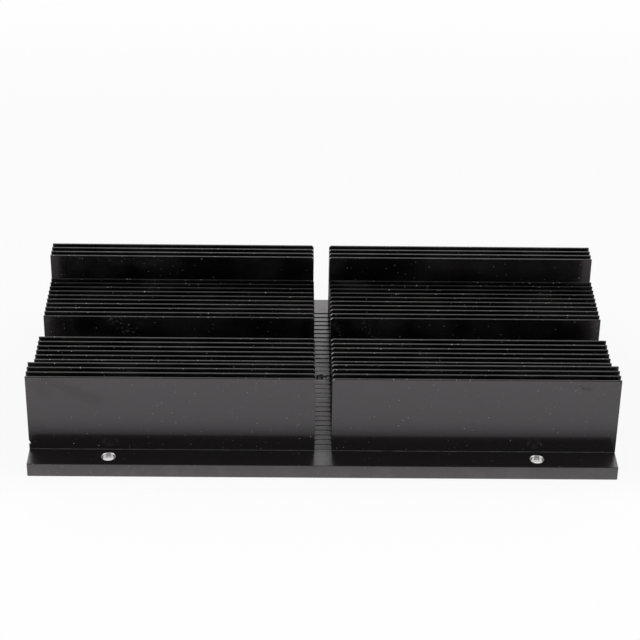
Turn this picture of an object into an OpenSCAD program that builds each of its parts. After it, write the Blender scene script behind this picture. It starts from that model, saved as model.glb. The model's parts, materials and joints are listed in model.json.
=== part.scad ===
// Bonded fin heat sink: one grooved aluminium base plate and rows of thin
// upright blades. A channel runs from front to back through the middle, so
// each row is a left and a right blade. Some grooves are left without blades.
// Millimetres. The origin is at the centre of the underside, +Z is up and the
// front edge faces -Y.

/* [Base plate] */
// Length of the base plate along the blades
base_l = 250; // [180:1:320]
// Width of the base plate across the blades
base_w = 140; // [136:1:180]
// Thickness of the base plate
base_t = 6.3; // [4.5:0.1:10]
// Chamfer that breaks every outer edge of the base plate
edge_break = 0.25; // [0.1:0.05:0.5]

/* [Blade rows] */
// Distance between neighbouring grooves
pitch = 3.7; // [2.6:0.1:3.8]
// Depth of every groove
groove_depth = 2; // [1:0.25:3]
// Front edge of the base plate to the middle of the first groove
front_margin = 12; // [10:0.5:14]
// Thickness of a blade
blade_t = 1; // [0.6:0.1:1.5]
// Space for adhesive on each side of a blade in its groove
bond_gap = 0.05; // [0.03:0.01:0.1]
// Height of the tall rows at the front above the base plate
front_tall_h = 36; // [20:0.1:60]
// Height of the low rows behind them
front_low_h = 33; // [16:0.1:56]
// Height of the low rows in the middle
middle_low_h = 32.7; // [16:0.1:56]
// Height of the tall rows at the rear
rear_tall_h = 36.7; // [20:0.1:60]
// How far the low rows stop short of each end of the base plate
low_inset = 1.75; // [0:0.25:10]
// Chamfer on the long edges of a blade
blade_break = 0.18; // [0.05:0.01:0.25]
// How far the top corner of each blade is cut off beside the channel
corner_cut = 0.8; // [0.3:0.1:2]

/* [Channel and holes] */
// Width of the channel through the middle of the rows
channel_w = 7.2; // [5:0.1:20]
// Diameter of the hole in the middle of the channel
centre_hole_d = 4.5; // [3:0.1:5]
// Diameter of the four mounting holes
mount_hole_d = 5.5; // [3:0.1:6.5]
// Distance between the mounting holes along the blades
mount_span = 182; // [100:1:220]
// Edge of the base plate to the middle of a mounting hole
mount_margin = 6; // [4.5:0.25:6]
// Width of the chamfer round each hole
hole_break = 0.3; // [0.1:0.05:0.4]

/* [Adhesive] */
// How far the hardened adhesive in the first groove lies below the plate's top
filler_drop = 0.1; // [0.05:0.05:0.5]

/* [Nick] */
// Height above the base plate of the nick in the foremost left blade
nick_z = 2.2; // [1:0.1:10]
// Height of the nick
nick_h = 2.2; // [0.5:0.1:4]
// How far the nick runs into the end of the blade
nick_depth = 1.1; // [0.3:0.1:2]
// Height of the nick's tip above its lower edge
nick_tip = 0.3; // [0:0.1:0.5]

/* [Hidden] */
$fn = 48;
eps = 0.01;

// Grooves are counted from the front, from 0, and these are the filled ones
groove_count = 32;
front_tall_rows = [0 : 3];
front_low_rows = [5 : 10];
middle_low_rows = [15 : 24];
rear_tall_rows = [28 : 31];

// One block of rows at a time: its grooves, the height of its blades and how
// far they stop short of each end of the base plate
blocks = [
    [front_tall_rows, front_tall_h, 0],
    [front_low_rows, front_low_h, low_inset],
    [middle_low_rows, middle_low_h, low_inset],
    [rear_tall_rows, rear_tall_h, 0]
];
// Each row of blades as its groove, its height and its inset
rows = [for (b = blocks) for (r = b[0]) [r, b[1], b[2]]];

groove_w = blade_t + 2 * bond_gap;
groove_floor = base_t - groove_depth;
mount_y = base_w / 2 - mount_margin;

function groove_y(row) = -base_w / 2 + front_margin + row * pitch;
function two_digits(n) = n < 10 ? str("0", n) : str(n);
function blade_name(side, i) = str(side, "_blade_", two_digits(i + 1));

// A rectangle centred on its origin with all four corners broken
module broken_rect(w, h, c) {
    polygon([
        [-w / 2 + c, -h / 2],
        [w / 2 - c, -h / 2],
        [w / 2, -h / 2 + c],
        [w / 2, h / 2 - c],
        [w / 2 - c, h / 2],
        [-w / 2 + c, h / 2],
        [-w / 2, h / 2 - c],
        [-w / 2, -h / 2 + c]
    ]);
}

// The plate before machining, with every outer edge broken
module plate_blank() {
    translate([0, 0, base_t / 2])
        intersection() {
            linear_extrude(base_t, center = true)
                broken_rect(base_l, base_w, edge_break);
            rotate([90, 0, 0])
                linear_extrude(base_w, center = true)
                    broken_rect(base_l, base_t, edge_break);
            rotate([90, 0, 90])
                linear_extrude(base_l, center = true)
                    broken_rect(base_w, base_t, edge_break);
        }
}

// A bore right through the plate with a chamfer at both faces
module through_hole(d) {
    rim_d = d + 2 * hole_break;
    translate([0, 0, -eps])
        cylinder(h = base_t + 2 * eps, d = d);
    translate([0, 0, -eps])
        cylinder(h = hole_break + eps, d1 = rim_d + 2 * eps, d2 = d);
    translate([0, 0, base_t - hole_break])
        cylinder(h = hole_break + eps, d1 = d, d2 = rim_d + 2 * eps);
}

module groove(row) {
    translate([0, groove_y(row), groove_floor + base_t / 2])
        cube([base_l + 2, groove_w, base_t], center = true);
}

module base_plate() {
    color("#26262a")
        difference() {
            plate_blank();
            for (row = [0 : groove_count - 1])
                groove(row);
            through_hole(centre_hole_d);
            for (x = [-1, 1], y = [-1, 1])
                translate([x * mount_span / 2, y * mount_y, 0])
                    through_hole(mount_hole_d);
        }
}

// Hardened adhesive that closes the first groove where it crosses the channel
module groove_filler() {
    height = groove_depth - filler_drop;
    color("#18181a")
        translate([0, groove_y(rows[0][0]), groove_floor + height / 2])
            cube([channel_w, groove_w, height], center = true);
}

// The right-hand blade of a row: it stands on the floor of its groove and runs
// from the channel wall to the outer end of the row, with its top corner cut
// off beside the channel
module blade_form(row) {
    length = base_l / 2 - row[2] - channel_w / 2;
    height = base_t + row[1] - groove_floor;
    cutter = corner_cut * sqrt(2);
    translate([channel_w / 2, groove_y(row[0]), groove_floor])
        difference() {
            translate([0, 0, height / 2])
                rotate([90, 0, 90])
                    linear_extrude(length)
                        broken_rect(blade_t, height, blade_break);
            translate([0, 0, height])
                rotate([0, 45, 0])
                    cube([cutter, 2 * blade_t, cutter], center = true);
        }
}

// A V cut into the outer end of the foremost left blade
module nick() {
    translate([-base_l / 2, groove_y(rows[0][0]) + blade_t, base_t + nick_z])
        rotate([90, 0, 0])
            linear_extrude(2 * blade_t)
                polygon([[-1, 0], [0, 0], [nick_depth, nick_tip], [0, nick_h], [-1, nick_h]]);
}

module right_blade(i) {
    color("#1c1c20")
        blade_form(rows[i]);
}

module left_blade(i) {
    color("#1c1c20")
        difference() {
            mirror([1, 0, 0])
                blade_form(rows[i]);
            if (i == 0)
                nick();
        }
}

base_plate();
groove_filler();
for (i = [0 : len(rows) - 1]) {
    left_blade(i);
    right_blade(i);
}
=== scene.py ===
import json
import math
import bpy
from mathutils import Matrix, Vector


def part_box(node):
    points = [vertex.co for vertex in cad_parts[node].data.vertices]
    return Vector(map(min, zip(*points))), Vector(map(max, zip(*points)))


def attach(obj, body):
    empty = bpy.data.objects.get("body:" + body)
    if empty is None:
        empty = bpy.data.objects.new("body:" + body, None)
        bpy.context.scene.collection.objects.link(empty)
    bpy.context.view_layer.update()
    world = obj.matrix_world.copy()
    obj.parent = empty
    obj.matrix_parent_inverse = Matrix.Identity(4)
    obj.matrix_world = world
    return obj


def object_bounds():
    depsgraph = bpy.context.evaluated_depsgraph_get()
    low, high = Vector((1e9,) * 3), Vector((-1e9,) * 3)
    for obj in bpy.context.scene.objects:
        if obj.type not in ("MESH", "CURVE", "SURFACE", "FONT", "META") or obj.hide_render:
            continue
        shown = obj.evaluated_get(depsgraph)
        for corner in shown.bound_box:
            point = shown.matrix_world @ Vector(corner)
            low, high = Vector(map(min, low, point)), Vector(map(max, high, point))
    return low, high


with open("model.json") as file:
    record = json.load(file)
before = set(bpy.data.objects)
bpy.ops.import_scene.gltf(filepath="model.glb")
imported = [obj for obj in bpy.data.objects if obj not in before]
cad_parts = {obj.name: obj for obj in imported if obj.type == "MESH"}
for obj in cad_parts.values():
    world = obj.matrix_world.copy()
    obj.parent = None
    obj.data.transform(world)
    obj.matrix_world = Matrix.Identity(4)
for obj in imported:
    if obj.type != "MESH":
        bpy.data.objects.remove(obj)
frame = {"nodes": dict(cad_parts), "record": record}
cadLow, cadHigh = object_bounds()
scene = bpy.context.scene
scene.view_settings.view_transform = "Standard"
mm = 0.001
white = (1, 1, 1, 1)

# places that the finishes and the adhesive follow, all taken from the frame
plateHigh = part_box("base_plate")[1]
firstLow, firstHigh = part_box("right_blade_01")
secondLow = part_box("right_blade_02")[0]
bladeNames = sorted(name for name in frame["nodes"] if "blade" in name)
pitch = secondLow.y - firstLow.y
firstRow = (firstLow.y + firstHigh.y) / 2
channelHalf = firstLow.x
plateTop = plateHigh.z
fillerLow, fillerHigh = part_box("groove_filler")
grooveWidth = fillerHigh.y - fillerLow.y
grooveFloor = fillerLow.z
mounts = {mount["name"]: mount for mount in frame["record"]["mounts"]}
screwHoles = mounts["mounting_holes"]["dims"]
centreHole = mounts["centre_hole"]["dims"]
holeBreak = 0.3 * mm  # width of the chamfer round each hole
print("frame loaded:", len(frame["nodes"]), "CAD nodes,", len(bladeNames), "blades")


# small helpers for node trees: an input takes another node's output or a plain value
def newNode(tree, kind, inputs=None, **attributes):
    node = tree.nodes.new(kind)
    for key, value in attributes.items():
        setattr(node, key, value)
    for key, value in (inputs or {}).items():
        if isinstance(value, bpy.types.NodeSocket):
            tree.links.new(value, node.inputs[key])
        else:
            node.inputs[key].default_value = value
    return node


def mathNode(tree, operation, *values, clamp=False):
    inputs = dict(enumerate(values))
    return newNode(tree, "ShaderNodeMath", inputs, operation=operation, use_clamp=clamp).outputs[0]


def vectorNode(tree, operation, *values):
    node = newNode(tree, "ShaderNodeVectorMath", dict(enumerate(values)), operation=operation)
    return node.outputs["Value" if operation in ("LENGTH", "DISTANCE", "DOT_PRODUCT") else "Vector"]


def mapRange(tree, value, fromLow, fromHigh, toLow=0.0, toHigh=1.0, smooth=False):
    node = newNode(tree, "ShaderNodeMapRange", {
        "Value": value, "From Min": fromLow, "From Max": fromHigh, "To Min": toLow, "To Max": toHigh})
    if smooth:
        node.interpolation_type = "SMOOTHSTEP"
    return node.outputs[0]


def noise(tree, place, scale, detail=2.0, seed=0.0):
    shifted = vectorNode(tree, "ADD", place, (seed, seed * 0.7, seed * 1.3))
    inputs = {"Vector": shifted, "Scale": scale, "Detail": detail}
    return newNode(tree, "ShaderNodeTexNoise", inputs).outputs["Fac"]


def mixColour(tree, share, first, second):
    # the colour sockets of the node are 6 and 7, and the mixed colour is output 2
    return newNode(tree, "ShaderNodeMix", {0: share, 6: first, 7: second}, data_type="RGBA").outputs[2]


def grey(level):
    return (level, level, level, 1)


def emptyMaterial(name):
    material = bpy.data.materials.new(name)
    material.use_nodes = True
    material.node_tree.nodes.clear()
    return material


# camera
cameraSettings = {
    "place": (-0.0152, -0.7780, 0.4979),
    "lens": 114.58,
    "lookDown": 30.672,  # degrees below the horizon
    "turn": 1.039,  # degrees towards +X
    "roll": -0.963,
}


def makeCamera(settings):
    down, turn, roll = (math.radians(settings[k]) for k in ("lookDown", "turn", "roll"))
    ahead = Vector((math.sin(turn) * math.cos(down), math.cos(turn) * math.cos(down), -math.sin(down)))
    level = Vector((math.cos(turn), -math.sin(turn), 0))
    upright = Vector((math.sin(turn) * math.sin(down), math.cos(turn) * math.sin(down), math.cos(down)))
    right = math.cos(roll) * level - math.sin(roll) * upright
    up = math.sin(roll) * level + math.cos(roll) * upright
    data = bpy.data.cameras.new("camera")
    data.lens = settings["lens"]
    camera = bpy.data.objects.new("camera", data)
    scene.collection.objects.link(camera)
    turned = Matrix((right, up, -ahead)).transposed().to_4x4()
    camera.matrix_world = Matrix.Translation(settings["place"]) @ turned
    scene.camera = camera


makeCamera(cameraSettings)
print("camera placed")


# room: a white table and soft light all round
roomSettings = {
    "tableSize": 6.0,
    "tableDrop": 0.00005,  # keeps the table just clear of the underside
    "tableWhite": 0.9,
    "glowForCamera": 0.94,  # share of plain white that the camera sees
    "sideShadowWhite": 0.97,  # how white the table is beside and just behind the object, where it carries a painted faint shadow
    "glowForGloss": 0.95,  # share of plain white that a reflection sees
    "sideFrom": (-0.09, -0.06),  # along Y, where it starts and is reached in full
    "sideUntil": (0.5, 0.25),  # along Y, where it is gone again and where that starts
    # the painted soft shadow that reflections see: mm from the plate and the share of light there
    "shadowSteps": ((5, 0.12), (10, 0.36), (12, 0.48), (16, 0.72), (20, 0.84), (25, 0.91), (50, 1.0)),
    "skyLevel": 1.1,
    "skyDark": 0.2,  # level of the dark patch above and in front
    "darkToward": (0, -0.50, 0.87),
    "darkSpread": (0.75, 0.97),  # cosines of the angles at the patch's rim and where it is full
    "skyBright": 0.35,  # what the bright patch behind adds
    "brightToward": (0, 0.86, 0.51),
    "brightSpread": (0.70, 0.96),
}


def makeTable(settings):
    half = settings["tableSize"] / 2
    mesh = bpy.data.meshes.new("table")
    corners = [(-half, -half, 0), (half, -half, 0), (half, half, 0), (-half, half, 0)]
    mesh.from_pydata(corners, [], [(0, 1, 2, 3)])
    mesh.transform(Matrix.Translation((0, 0, cadLow.z - settings["tableDrop"])))
    table = bpy.data.objects.new("table", mesh)
    scene.collection.objects.link(table)
    material = emptyMaterial("whiteTable")
    tree = material.node_tree
    ray = newNode(tree, "ShaderNodeLightPath")
    share = mathNode(tree, "MULTIPLY", ray.outputs["Is Camera Ray"], settings["glowForCamera"])
    gloss = mathNode(tree, "MULTIPLY", ray.outputs["Is Glossy Ray"], settings["glowForGloss"])
    share = mathNode(tree, "MAXIMUM", share, gloss)
    paper = newNode(tree, "ShaderNodeBsdfDiffuse", {"Color": grey(settings["tableWhite"])})
    # reflections see a painted soft shadow round the plate, and painted plain white light on the table
    # under its holes
    place = newNode(tree, "ShaderNodeTexCoord").outputs["Object"]
    y = newNode(tree, "ShaderNodeSeparateXYZ", {0: place}).outputs[1]
    corner = (plateHigh.x, plateHigh.y, 1)
    outside = vectorNode(tree, "SUBTRACT", vectorNode(tree, "ABSOLUTE", place), corner)
    outside = vectorNode(tree, "LENGTH", vectorNode(tree, "MAXIMUM", outside, (0, 0, 0)))
    level = settings["shadowSteps"][0][1]
    for (near, low), (far, high) in zip(settings["shadowSteps"], settings["shadowSteps"][1:]):
        rise = mapRange(tree, outside, near * mm, far * mm, 0.0, high - low)
        level = mathNode(tree, "ADD", level, rise)
    under = mathNode(tree, "MULTIPLY", mathNode(tree, "LESS_THAN", outside, 0.1 * mm),
                     mathNode(tree, "LESS_THAN", ray.outputs["Glossy Depth"], 2.5))
    level = mathNode(tree, "MAXIMUM", level, under)
    # the camera sees a painted faint shadow on the table beside and just behind the object
    side = mathNode(tree, "MULTIPLY", mapRange(tree, y, *settings["sideFrom"], smooth=True),
                    mapRange(tree, y, *settings["sideUntil"], smooth=True))
    back = mapRange(tree, side, 0.0, 1.0, 1.0, settings["sideShadowWhite"])
    level = mixColour(tree, ray.outputs["Is Glossy Ray"], back, level)
    glow = newNode(tree, "ShaderNodeEmission", {"Color": white, "Strength": level})
    mix = newNode(tree, "ShaderNodeMixShader", {0: share, 1: paper.outputs[0], 2: glow.outputs[0]})
    newNode(tree, "ShaderNodeOutputMaterial", {"Surface": mix.outputs[0]})
    mesh.materials.append(material)


def makeSky(settings):
    world = bpy.data.worlds.new("studio")
    scene.world = world
    world.use_nodes = True
    tree = world.node_tree
    tree.nodes.clear()
    toward = newNode(tree, "ShaderNodeTexCoord").outputs["Generated"]
    front = vectorNode(tree, "DOT_PRODUCT", toward, settings["darkToward"])
    back = vectorNode(tree, "DOT_PRODUCT", toward, settings["brightToward"])
    dark = mapRange(tree, front, *settings["darkSpread"], settings["skyLevel"], settings["skyDark"],
                    smooth=True)
    bright = mapRange(tree, back, *settings["brightSpread"], 0.0, settings["skyBright"], smooth=True)
    level = mathNode(tree, "ADD", dark, bright)
    light = newNode(tree, "ShaderNodeBackground", {"Color": white, "Strength": level})
    seen = newNode(tree, "ShaderNodeBackground", {"Color": white, "Strength": 1.0})
    ray = newNode(tree, "ShaderNodeLightPath")
    mix = newNode(tree, "ShaderNodeMixShader", {
        0: ray.outputs["Is Camera Ray"], 1: light.outputs[0], 2: seen.outputs[0]})
    newNode(tree, "ShaderNodeOutputWorld", {"Surface": mix.outputs[0]})


makeTable(roomSettings)
makeSky(roomSettings)
print("table and light ready")


# masks and marks shared by the finishes
def product(tree, *values):
    total = values[0]
    for value in values[1:]:
        total = mathNode(tree, "MULTIPLY", total, value)
    return total


def largest(tree, *values):
    total = values[0]
    for value in values[1:]:
        total = mathNode(tree, "MAXIMUM", total, value)
    return total


def dustMask(tree, place, spacing, radius, seed):
    # round specks, one to a cell, each with its own strength
    shifted = vectorNode(tree, "ADD", place, (seed, seed, seed))
    cells = newNode(tree, "ShaderNodeTexVoronoi", {"Vector": shifted, "Scale": 1 / spacing})
    near = mapRange(tree, cells.outputs["Distance"], radius / spacing, 0.4 * radius / spacing, smooth=True)
    level = newNode(tree, "ShaderNodeSeparateColor", {0: cells.outputs["Color"]}).outputs[0]
    return mathNode(tree, "MULTIPLY", near, mathNode(tree, "POWER", level, 3.0))


# fine dust and a few larger specks: spacing and radius in mm, and a seed
dustSizes = ((2.0, 0.28, 1.0), (5.0, 0.38, 2.0))


def dustSpecks(tree, place):
    fine, large = (dustMask(tree, place, spacing * mm, radius * mm, seed)
                   for spacing, radius, seed in dustSizes)
    return mathNode(tree, "ADD", fine, large, clamp=True)


# patterns that make a finish uneven: scale, detail, seed, and the noise levels that give its two ends
patterns = {
    "clouds": (45.0, 3.0, 0.0, 0.3, 0.7),
    "plateGrain": (1500.0, 1.0, 0.0, 0.3, 0.7),
    "bladeGrain": (2000.0, 1.0, 0.0, 0.3, 0.7),
    "smudges": (260.0, 3.0, 3.0, 0.35, 0.65),
    "ripples": (300.0, 3.0, 5.0, 0.3, 0.7),
    "scuffs": (120.0, 3.0, 12.0, 0.5, 0.7),
    "waves": (110.0, 3.0, 7.0, 0.3, 0.7),
    "filing": (700.0, 2.0, 9.0, 0.4, 0.65),
    "dustAndPaintedLight": (55.0, 4.0, 6.0, 0.42, 0.72),
    "flecks": (900.0, 3.0, 11.0, 0.5, 0.72),
    "blotches": (220.0, 3.0, 0.0, 0.4, 0.7),
    "pores": (500.0, 2.0, 4.0, 0.3, 0.7),
}


def uneven(tree, place, pattern, low=0.0, high=1.0):
    scale, detail, seed, fromLow, fromHigh = patterns[pattern]
    return mapRange(tree, noise(tree, place, scale, detail, seed), fromLow, fromHigh, low, high)


def streak(tree, place, start, end, width, soft=0.4):
    # 1 along the line from start to end in mm, fading to 0 at the width
    start, end = Vector(start) * mm, Vector(end) * mm
    along = end - start
    away = vectorNode(tree, "SUBTRACT", place, start)
    ahead = vectorNode(tree, "DOT_PRODUCT", away, along)
    share = mathNode(tree, "MULTIPLY", ahead, 1 / along.length_squared, clamp=True)
    spot = newNode(tree, "ShaderNodeVectorMath", {0: along, "Scale": share}, operation="SCALE").outputs[0]
    distance = vectorNode(tree, "DISTANCE", away, spot)
    return mapRange(tree, distance, width * mm, width * soft * mm, smooth=True)


def boreMask(tree, place, x, y, radius):
    # 1 inside the drilled holes at plus and minus x and y
    mirrored = vectorNode(tree, "ABSOLUTE", place)
    flat = vectorNode(tree, "MULTIPLY", vectorNode(tree, "SUBTRACT", mirrored, (x, y, 0)), (1, 1, 0))
    rim = radius + holeBreak + 0.01 * mm
    return mathNode(tree, "LESS_THAN", vectorNode(tree, "LENGTH", flat), rim)


# black anodised plate: a satin layer with a shinier film over it, sawn edges and bare drilled holes
plateSettings = {
    "black": (0.0029, 0.0024, 0.0025, 1),
    "tint": (1.0, 0.90, 0.94, 1),
    "index": 1.52,
    "roughness": 0.36,
    "film": 0.85,  # weight of the shinier film
    "filmRoughness": 0.2,
    "channelShadeFilm": (0.45, 1.0),  # share of the film left at the front and the rear of the channel, thinned at the front as painted shade
    "dust": 0.3,
    "dustColour": (0.9, 0.85, 0.8, 1),
    # scratches on the flange, from x, y to x, y in mm, each with its width
    "scratches": [((0.5, -66.5), (2.6, -63.6), 0.22), ((-60, -61.0), (-55, -62.2), 0.2)],
    "scratchPale": 0.02,
    "edgeRim": 0.27,  # mm from the plate's outline that count as its edge
    "edgeBelow": 0.2,  # and mm below its top
    "edgeBlack": (0.118, 0.111, 0.116),
    "edgeRoughness": 0.55,
    "bareMetal": (0.90, 0.89, 0.88, 1),
    "bareRoughness": 0.2,
    "outerSideShadedBare": 0.4,  # share of bare metal on a bore's side towards the plate's edge, lowered there as painted shade
    "leftSideShadedBare": 0.1,  # and on the centre hole's left side, lowered as painted shade too
    "screwHoleMetallic": 0.85,
    "drillRings": 0.35,
}


def makePlateFinish(settings):
    material = emptyMaterial("anodisedPlate")
    tree = material.node_tree
    place = newNode(tree, "ShaderNodeTexCoord").outputs["Object"]
    x, y, z = newNode(tree, "ShaderNodeSeparateXYZ", {0: place}).outputs
    sideways = mathNode(tree, "ABSOLUTE", x)
    lengthways = mathNode(tree, "ABSOLUTE", y)
    # sawn edges all round, found by how near they are to the plate's outline, up to the chamfer on top
    rim = settings["edgeRim"] * mm
    edge = largest(tree, mathNode(tree, "GREATER_THAN", sideways, plateHigh.x - rim),
                   mathNode(tree, "GREATER_THAN", lengthways, plateHigh.y - rim))
    edge = product(tree, edge, mathNode(tree, "LESS_THAN", z, plateTop - settings["edgeBelow"] * mm))
    # bores are bare metal, but painted dark as shade towards the plate's edge and on the centre hole's left
    screwX, screwY = screwHoles["spacing_x_mm"] / 2 * mm, screwHoles["spacing_y_mm"] / 2 * mm
    boreShadedShare = mapRange(tree, lengthways, screwY + 0.2 * mm, screwY + 1.2 * mm, 1.0, settings["outerSideShadedBare"])
    screwBare = product(tree, boreMask(tree, place, screwX, screwY, screwHoles["hole_r_mm"] * mm), boreShadedShare)
    right = mapRange(tree, x, 0.6 * mm, 1.1 * mm, settings["leftSideShadedBare"], 1.0)
    centreBare = product(tree, boreMask(tree, place, 0, 0, centreHole["r_mm"] * mm), right)
    bare = largest(tree, screwBare, centreBare)
    bare = product(tree, bare, mathNode(tree, "SUBTRACT", 1.0, edge))
    # the film is uneven, and thinner towards the front of the channel as painted shade between the blade
    # ends
    cloud = uneven(tree, place, "clouds", 0.95, 1.05)
    grain = uneven(tree, place, "plateGrain", 0.8, 1.2)
    smudge = uneven(tree, place, "smudges", 0.85, 1.15)
    inChannel = product(tree, mathNode(tree, "LESS_THAN", sideways, channelHalf),
                        mapRange(tree, y, firstRow - 3 * mm, firstRow, smooth=True))
    left = product(tree, smudge, mapRange(tree, y, firstRow, plateHigh.y, *settings["channelShadeFilm"]))
    channelShade = mixColour(tree, inChannel, white, left)
    film = product(tree, cloud, grain, channelShade, settings["film"], mathNode(tree, "SUBTRACT", 1.0, edge))
    film = mathNode(tree, "MULTIPLY", film, mathNode(tree, "SUBTRACT", 1.0, bare), clamp=True)
    rough = uneven(tree, place, "ripples", settings["roughness"] - 0.03, settings["roughness"] + 0.03)
    rough = mathNode(tree, "MAXIMUM", rough, mathNode(tree, "MULTIPLY", edge, settings["edgeRoughness"]))
    rough = mixColour(tree, bare, rough, grey(settings["bareRoughness"]))
    # dust, scratches, sawn edges that are a little paler towards the underside, and bare metal
    dust = mathNode(tree, "MULTIPLY", dustSpecks(tree, place), settings["dust"])
    for start, end, width in settings["scratches"]:
        top = plateTop / mm
        scratch = streak(tree, place, (*start, top), (*end, top), width)
        dust = largest(tree, dust, mathNode(tree, "MULTIPLY", scratch, settings["scratchPale"]))
    scuffs = uneven(tree, place, "scuffs", 0.97, 1.12)
    # the sawn edges get lighter towards the underside: painted light, as from the white table they face
    level = product(tree, edge, mapRange(tree, z, plateTop, 0.0, 0.80, 1.2), scuffs)
    level = newNode(tree, "ShaderNodeCombineXYZ", {0: level, 1: level, 2: level}).outputs[0]
    sawn = vectorNode(tree, "MULTIPLY", level, settings["edgeBlack"])
    colour = mixColour(tree, edge, settings["black"], sawn)
    colour = mixColour(tree, dust, colour, settings["dustColour"])
    colour = mixColour(tree, bare, colour, settings["bareMetal"])
    # drilling leaves fine rings down the bore
    rings = noise(tree, vectorNode(tree, "MULTIPLY", place, (120, 120, 2600)), 1.0)
    bump = newNode(tree, "ShaderNodeBump", {
        "Height": rings, "Strength": mathNode(tree, "MULTIPLY", bare, settings["drillRings"]),
        "Distance": 0.1 * mm})
    atScrews = mapRange(tree, sideways, 5 * mm, 6 * mm, 1.0, settings["screwHoleMetallic"])
    shader = newNode(tree, "ShaderNodeBsdfPrincipled", {
        "Base Color": colour, "Roughness": rough, "IOR": settings["index"],
        "Metallic": product(tree, bare, atScrews), "Specular Tint": settings["tint"],
        "Coat Weight": film, "Coat Roughness": settings["filmRoughness"], "Coat IOR": 1.5,
        "Normal": bump.outputs[0]})
    newNode(tree, "ShaderNodeOutputMaterial", {"Surface": shader.outputs[0]})
    return material


# blades: a shinier finish with dull sheared tops and small nicks on their edges
bladeSettings = {
    "black": (0.0023, 0.0020, 0.0022, 1),
    "tint": (1.0, 0.90, 0.97, 1),
    "index": 1.61,
    "roughness": 0.25,
    "firstRoughness": 0.16,  # of the two foremost blades
    "film": 0.70,
    "filmRoughness": 0.13,
    "dust": 0.3,
    "dustColour": (0.9, 0.86, 0.82, 1),
    "topFilm": 0.03,  # share of the film that is left on the narrow top edges
    "topRoughness": 0.36,
    "leadTops": {1: 0.42, 11: 0.15, 21: 0.62},  # shine of the tops of each block's foremost row
    # how much each row reflects, from the front: painted shade that darkens the middle block towards its
    # rear
    "rowShadedShine": [1, 0.62, 0.62, 0.62, 0.6, 0.6, 0.6, 0.6, 0.6, 0.6,
                 1, 0.55, 0.48, 0.44, 0.34, 0.26, 0.22, 0.08, 0.03, 0.02, 1, 0.8, 0.8, 0.8],
    # how far a face has to point up to count as a top, or as an edge, and sideways as a cut corner
    "topFacing": (0.85, 0.97),
    "edgeFacing": (0.45, 0.6),
    "cornerFacing": (0.5, 0.6),
    "nicks": 0.7,
    "chips": (1.4, 0.3, 4.0),  # spacing and radius of the nicks in mm, and a seed
    # pale cut corners: filed bare metal and a painted glint
    "cornerBareAndGlint": 0.6,
    "cornerLeft": 0.25,  # share of it on the left blades
    "cornerFront": (-48, -30, 0.25),  # mm along Y over which it grows from this share
    "cornerRear": (5, 18, 0.12),  # and over which it falls to this share
    "dustAndPaintedLight": 0.014,  # faint dust and painted light on the faces behind the foremost ones
}


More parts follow.
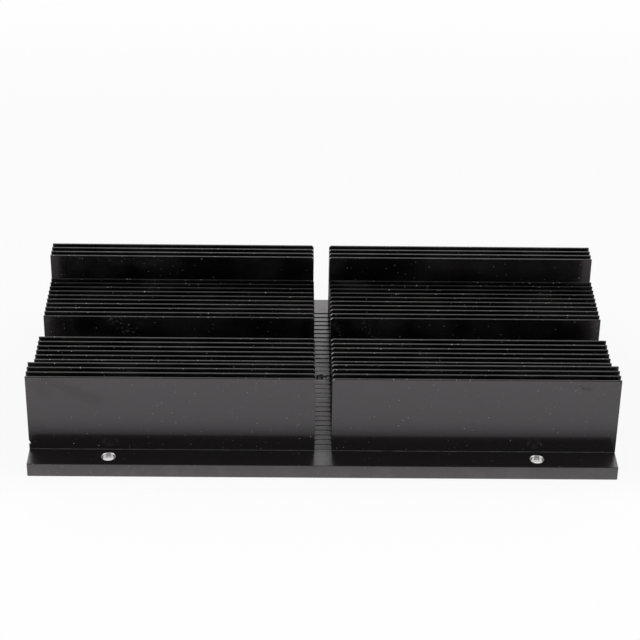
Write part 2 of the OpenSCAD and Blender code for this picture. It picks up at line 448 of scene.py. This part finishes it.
def makeBladeFinish(name, settings, rowShadedShine, topShine):
    material = emptyMaterial(name)
    tree = material.node_tree
    coordinates = newNode(tree, "ShaderNodeTexCoord")
    place = coordinates.outputs["Object"]
    x, y, z = newNode(tree, "ShaderNodeSeparateXYZ", {0: place}).outputs
    facing = newNode(tree, "ShaderNodeSeparateXYZ", {0: coordinates.outputs["Normal"]}).outputs
    top = mapRange(tree, facing[2], *settings["topFacing"])
    edge = mapRange(tree, facing[2], *settings["edgeFacing"])
    sideways = mapRange(tree, mathNode(tree, "ABSOLUTE", facing[0]), *settings["cornerFacing"])
    corner = product(tree, edge, sideways)
    cloud = uneven(tree, place, "clouds", 0.96, 1.04)
    grain = uneven(tree, place, "bladeGrain", 0.6, 1.4)
    film = product(tree, cloud, grain, mapRange(tree, top, 0.0, 1.0, 1.0, settings["topFilm"]))
    # sheared tops, with waves of brightness along each blade
    wave = uneven(tree, vectorNode(tree, "MULTIPLY", place, (1, 4, 0)), "waves", 0.55, 1.2)
    tint = mixColour(tree, edge, settings["tint"], mathNode(tree, "MULTIPLY", wave, topShine))
    foremost = mathNode(tree, "LESS_THAN", y, firstHigh.y + 0.1 * mm)
    rough = mixColour(tree, foremost, grey(settings["roughness"]), grey(settings["firstRoughness"]))
    rough = mathNode(tree, "ADD", rough, uneven(tree, place, "ripples", -0.02, 0.02))
    rough = mixColour(tree, top, rough, grey(settings["topRoughness"]))
    dust = mathNode(tree, "MULTIPLY", dustSpecks(tree, place), settings["dust"])
    # small nicks that show bare metal along the edges, and more of it where a corner is cut off, there also
    # a painted glint
    spacing, radius, seed = settings["chips"]
    nicks = product(tree, edge, dustMask(tree, place, spacing * mm, radius * mm, seed), settings["nicks"])
    # the painted glint on the cut corners is strongest on the right blades and fades towards the front and
    # the rear block
    filedAndGlint = uneven(tree, place, "filing", 0.3, 1.0)
    side = mapRange(tree, mathNode(tree, "GREATER_THAN", x, 0.0), 0.0, 1.0, settings["cornerLeft"], 1.0)
    near, far, share = settings["cornerFront"]
    front = mapRange(tree, y, near * mm, far * mm, share, 1.0)
    near, far, share = settings["cornerRear"]
    rear = mapRange(tree, y, near * mm, far * mm, 1.0, share)
    filedAndGlint = product(tree, filedAndGlint, side, front, rear)
    # faint paleness on every face behind the foremost: dust, and painted light where those faces lie in
    # shade
    dustAndPaintedLight = uneven(tree, place, "dustAndPaintedLight", 0.0, settings["dustAndPaintedLight"])
    dustAndPaintedLight = mathNode(tree, "MULTIPLY", dustAndPaintedLight, mathNode(tree, "SUBTRACT", 1.0, foremost))
    pale = largest(tree, dust, nicks, product(tree, corner, filedAndGlint, settings["cornerBareAndGlint"]), dustAndPaintedLight)
    rub, pale = addRubMarks(tree, place, pale)
    film = mathNode(tree, "MULTIPLY", film, rub)
    film = mathNode(tree, "MULTIPLY", film, settings["film"], clamp=True)
    colour = mixColour(tree, pale, settings["black"], settings["dustColour"])
    # each row's shine lowers its reflection: painted shade, darkest at the middle block's rear
    shader = newNode(tree, "ShaderNodeBsdfPrincipled", {
        "Base Color": colour, "Roughness": rough, "IOR": settings["index"], "Specular Tint": tint,
        "Specular IOR Level": 0.5 * rowShadedShine,
        "Coat Weight": film, "Coat Roughness": settings["filmRoughness"], "Coat IOR": 1.5})
    newNode(tree, "ShaderNodeOutputMaterial", {"Surface": shader.outputs[0]})
    return material


# marks on the front faces of each block's foremost blades, from x, z to x, z in mm, each with the blade it
# is on, a width in mm and a strength
rubSettings = {
    "pale": [
        ("left_blade_01", (-120.5, 41.3), (-111.0, 36.0), 0.4, 0.010),
        ("right_blade_01", (107.0, 40.9), (107.6, 40.6), 0.35, 0.03),
        ("right_blade_01", (112.9, 39.6), (113.6, 39.9), 0.35, 0.03),
    ],
    "dusty": [
        ("left_blade_11", (-93.0, 38.5), (-81.0, 27.0), 4.5, 0.09),
        ("right_blade_11", (18.0, 36.0), (24.0, 30.0), 4.0, 0.06),
        ("right_blade_11", (6.0, 35.0), (9.0, 31.0), 3.0, 0.04),
        ("left_blade_21", (-118.0, 42.0), (-70.0, 40.0), 3.5, 0.04),
    ],
    "dark": [
        ("left_blade_01", (-117.0, 40.8), (-95.0, 31.0), 4.0, 0.3),
        ("left_blade_01", (-120.0, 38.0), (-116.0, 34.0), 4.0, 0.2),
        ("right_blade_01", (107.5, 40.2), (109.0, 38.6), 0.9, 0.4),
        ("right_blade_01", (109.0, 38.6), (111.5, 38.2), 1.1, 0.5),
        ("right_blade_01", (111.5, 38.2), (113.5, 39.8), 0.9, 0.3),
        ("right_blade_01", (103.5, 39.2), (106.0, 39.4), 0.8, 0.25),
        ("right_blade_01", (117.0, 38.4), (123.5, 40.6), 0.8, 0.2),
    ],
}


def addRubMarks(tree, place, pale):
    def mark(row, start, end, width):
        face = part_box(row)[0].y / mm
        return streak(tree, place, (start[0], face, start[1]), (end[0], face, end[1]), width, 0.2)

    for row, start, end, width, strength in rubSettings["pale"]:
        line = mark(row, start, end, width)
        pale = mathNode(tree, "MAXIMUM", pale, mathNode(tree, "MULTIPLY", line, strength))
    flecks = uneven(tree, place, "flecks")
    for row, start, end, width, strength in rubSettings["dusty"]:
        cloud = product(tree, mark(row, start, end, width), flecks, strength)
        pale = mathNode(tree, "MAXIMUM", pale, cloud)
    rub = 1.0
    for row, start, end, width, strength in rubSettings["dark"]:
        band = mark(row, start, end, width)
        rub = mathNode(tree, "SUBTRACT", rub, mathNode(tree, "MULTIPLY", band, strength))
    return rub, pale


# hardened adhesive: glossy black with a slightly uneven skin
adhesiveSettings = {
    "black": (0.012, 0.0112, 0.0115, 1),
    "pale": (0.05, 0.047, 0.048, 1),
    "roughness": 0.3,
    "index": 1.55,
    "film": 0.6,
    "filmRoughness": 0.2,
    "skinBump": 0.3,
}


def makeAdhesive(settings):
    material = emptyMaterial("hardenedAdhesive")
    tree = material.node_tree
    place = newNode(tree, "ShaderNodeTexCoord").outputs["Object"]
    blotch = uneven(tree, place, "blotches", 0.0, 0.5)
    colour = mixColour(tree, blotch, settings["black"], settings["pale"])
    rough = uneven(tree, place, "pores", settings["roughness"] - 0.06, settings["roughness"] + 0.1)
    skin = noise(tree, place, 900.0, 3.0, 8.0)
    bump = newNode(tree, "ShaderNodeBump", {
        "Height": skin, "Strength": settings["skinBump"], "Distance": 0.1 * mm})
    shader = newNode(tree, "ShaderNodeBsdfPrincipled", {
        "Base Color": colour, "Roughness": rough, "IOR": settings["index"], "Normal": bump.outputs[0],
        "Coat Weight": settings["film"], "Coat Roughness": settings["filmRoughness"], "Coat IOR": 1.5})
    newNode(tree, "ShaderNodeOutputMaterial", {"Surface": shader.outputs[0]})
    return material


plateFinish = makePlateFinish(plateSettings)
adhesiveFinish = makeAdhesive(adhesiveSettings)
finishes = {"base_plate": plateFinish, "groove_filler": adhesiveFinish}
for row, shine in enumerate(bladeSettings["rowShadedShine"], 1):
    topShine = bladeSettings["leadTops"].get(row, 1.0)
    finish = makeBladeFinish("anodisedRow%02d" % row, bladeSettings, shine, topShine)
    for side in ("left", "right"):
        finishes["%s_blade_%02d" % (side, row)] = finish
for nodeName, node in frame["nodes"].items():
    node.data.materials.clear()
    node.data.materials.append(finishes[nodeName])
print("finishes on")


# geometry trees: each takes its sizes as named inputs, and its result is kept as a plain mesh
def startTree(name, sizes):
    tree = bpy.data.node_groups.new(name, "GeometryNodeTree")
    tree.interface.new_socket(name="Geometry", in_out="INPUT", socket_type="NodeSocketGeometry")
    for label, value in sizes.items():
        kind = "NodeSocketInt" if isinstance(value, int) else "NodeSocketFloat"
        tree.interface.new_socket(name=label, in_out="INPUT", socket_type=kind)
    tree.interface.new_socket(name="Geometry", in_out="OUTPUT", socket_type="NodeSocketGeometry")
    return tree, tree.nodes.new("NodeGroupInput").outputs


def endTree(tree, geometry, material):
    solid = newNode(tree, "GeometryNodeRealizeInstances", {0: geometry})
    painted = newNode(tree, "GeometryNodeSetMaterial", {0: solid.outputs[0], "Material": material})
    newNode(tree, "NodeGroupOutput", {0: painted.outputs[0]})


def growPiece(name, mesh, tree, sizes):
    piece = bpy.data.objects.new(name, mesh)
    scene.collection.objects.link(piece)
    modifier = piece.modifiers.new("grow", "NODES")
    modifier.node_group = tree
    for item in tree.interface.items_tree:
        if item.in_out == "INPUT" and item.name in sizes:
            modifier[item.identifier] = sizes[item.name]
    grown = bpy.data.meshes.new_from_object(piece.evaluated_get(bpy.context.evaluated_depsgraph_get()))
    piece.modifiers.clear()
    piece.data = grown
    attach(piece, "root")
    print(name, "made:", len(grown.polygons), "faces")


# adhesive left in the grooves where they cross the channel, behind the first one
fillSettings = {
    "Count": round((plateHigh.y - firstRow) / pitch) - 3,
    "Pitch": pitch,
    "First": firstRow + pitch,
    "Width": 2 * channelHalf,
    "Groove": grooveWidth - 0.004 * mm,
    "Floor": grooveFloor,
    "Depth": plateTop - grooveFloor,
    "Front drop": 0.19 * mm,  # how far the top lies below the plate's top, by stretch
    "Middle drop": 0.09 * mm,
    "Back drop": 0.3 * mm,
    "Rear drop": 0.68 * mm,
    "Least drop": 0.02 * mm,
    "Hollow": 0.07 * mm,
    "Lumps": 0.16 * mm,
    "Lump scale": 420.0,
    "Hole": centreHole["r_mm"] * mm + holeBreak,
}
# grooves over which the drop changes to the next one, counted from the first one filled
fillStretches = {"Middle drop": (7.0, 10.0), "Back drop": (16.5, 18.5), "Rear drop": (22.5, 24.5)}


def makeChannelFill(settings):
    tree, size = startTree("channelFill", settings)
    centre = mathNode(tree, "ADD", size["Floor"], mathNode(tree, "MULTIPLY", size["Depth"], 0.5))
    start = newNode(tree, "ShaderNodeCombineXYZ", {1: size["First"], 2: centre})
    step = newNode(tree, "ShaderNodeCombineXYZ", {1: size["Pitch"]})
    places = newNode(tree, "GeometryNodeMeshLine", {
        "Count": size["Count"], "Start Location": start.outputs[0], "Offset": step.outputs[0]})
    block = newNode(tree, "ShaderNodeCombineXYZ", {0: size["Width"], 1: size["Groove"], 2: size["Depth"]})
    bar = newNode(tree, "GeometryNodeMeshCube", {
        "Size": block.outputs[0], "Vertices X": 25, "Vertices Y": 6, "Vertices Z": 2})
    bars = newNode(tree, "GeometryNodeInstanceOnPoints", {
        "Points": places.outputs[0], "Instance": bar.outputs[0]})
    bars = newNode(tree, "GeometryNodeRealizeInstances", {0: bars.outputs[0]})
    place = newNode(tree, "GeometryNodeInputPosition").outputs[0]
    x, y, z = newNode(tree, "ShaderNodeSeparateXYZ", {0: place}).outputs
    # which groove a point is in, counted from the first one filled, and where across it
    count = mathNode(tree, "DIVIDE", mathNode(tree, "SUBTRACT", y, size["First"]), size["Pitch"])
    across = mathNode(tree, "SUBTRACT", count, mathNode(tree, "ROUND", count))
    across = mathNode(tree, "MULTIPLY", across, size["Pitch"])
    across = mathNode(tree, "DIVIDE", across, mathNode(tree, "MULTIPLY", size["Groove"], 0.5))
    drop = size["Front drop"]
    for label, (low, high) in fillStretches.items():
        share = mapRange(tree, count, low, high, smooth=True)
        change = mathNode(tree, "MULTIPLY", share, mathNode(tree, "SUBTRACT", size[label], drop))
        drop = mathNode(tree, "ADD", drop, change)
    hollow = mathNode(tree, "SUBTRACT", 1.0, mathNode(tree, "POWER", across, 2.0))
    hollow = mathNode(tree, "MULTIPLY", size["Hollow"], hollow)
    lumps = newNode(tree, "ShaderNodeTexNoise", {
        "Vector": place, "Scale": size["Lump scale"], "Detail": 2.0}).outputs["Fac"]
    lumps = mathNode(tree, "MULTIPLY", size["Lumps"], mathNode(tree, "SUBTRACT", lumps, 0.5))
    down = mathNode(tree, "SUBTRACT", mathNode(tree, "SUBTRACT", lumps, hollow), drop)
    down = mathNode(tree, "MINIMUM", down, mathNode(tree, "MULTIPLY", size["Least drop"], -1.0))
    shift = newNode(tree, "ShaderNodeCombineXYZ", {2: down})
    upper = mathNode(tree, "GREATER_THAN", z, centre)
    bars = newNode(tree, "GeometryNodeSetPosition", {
        "Geometry": bars.outputs[0], "Selection": upper, "Offset": shift.outputs[0]})
    # the centre hole is drilled through the adhesive too
    drill = newNode(tree, "GeometryNodeMeshCylinder", {
        "Vertices": 48, "Radius": size["Hole"], "Depth": mathNode(tree, "MULTIPLY", size["Depth"], 10.0)})
    drilled = newNode(tree, "GeometryNodeMeshBoolean", {0: bars.outputs[0]}, operation="DIFFERENCE")
    tree.links.new(drill.outputs[0], drilled.inputs["Mesh 2"])
    normal = newNode(tree, "GeometryNodeInputNormal").outputs[0]
    facing = newNode(tree, "ShaderNodeSeparateXYZ", {0: normal}).outputs[2]
    smooth = newNode(tree, "GeometryNodeSetShadeSmooth", {
        "Geometry": drilled.outputs[0], "Selection": mathNode(tree, "GREATER_THAN", facing, 0.4)})
    endTree(tree, smooth.outputs[0], adhesiveFinish)
    growPiece("channelFill", bpy.data.meshes.new("channelFillSeed"), tree, settings)


# a thin uneven bead of adhesive along both feet of every blade
beadSettings = {
    "Spacing": 2.0 * mm,
    "Sides": 8,
    "Thin": 0.12 * mm,
    "Thick": 0.36 * mm,
    "Wander": 0.12 * mm,
    "Lump scale": 170.0,
}


def makeFootBeads(settings):
    points, lines = [], []
    short = 0.3 * mm  # the beads stop just short of the blades' ends
    for nodeName in bladeNames:
        low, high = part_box(nodeName)
        for y in (low.y, high.y):
            lines.append((len(points), len(points) + 1))
            points += [(low.x + short, y, plateTop), (high.x - short, y, plateTop)]
    feet = bpy.data.meshes.new("footLines")
    feet.from_pydata(points, lines, [])
    tree, size = startTree("footBead", settings)
    path = newNode(tree, "GeometryNodeMeshToCurve", {0: size["Geometry"]})
    path = newNode(tree, "GeometryNodeResampleCurve", {
        "Curve": path.outputs[0], "Length": size["Spacing"]}, mode="LENGTH")
    place = newNode(tree, "GeometryNodeInputPosition").outputs[0]
    lumps = newNode(tree, "ShaderNodeTexNoise", {
        "Vector": place, "Scale": size["Lump scale"], "Detail": 3.0}).outputs
    wander = vectorNode(tree, "SUBTRACT", lumps["Color"], (0.5, 0.5, 0.5))
    sideways = newNode(tree, "ShaderNodeCombineXYZ", {1: size["Wander"]}).outputs[0]
    wander = vectorNode(tree, "MULTIPLY", wander, sideways)
    path = newNode(tree, "GeometryNodeSetPosition", {"Geometry": path.outputs[0], "Offset": wander})
    radius = mapRange(tree, lumps["Fac"], 0.35, 0.7, size["Thin"], size["Thick"])
    ring = newNode(tree, "GeometryNodeCurvePrimitiveCircle", {"Resolution": size["Sides"], "Radius": 1.0})
    bead = newNode(tree, "GeometryNodeCurveToMesh", {
        "Curve": path.outputs[0], "Profile Curve": ring.outputs[0], "Scale": radius, "Fill Caps": True})
    smooth = newNode(tree, "GeometryNodeSetShadeSmooth", {"Geometry": bead.outputs[0]})
    endTree(tree, smooth.outputs[0], adhesiveFinish)
    growPiece("footBead", feet, tree, settings)


makeChannelFill(fillSettings)
makeFootBeads(beadSettings)
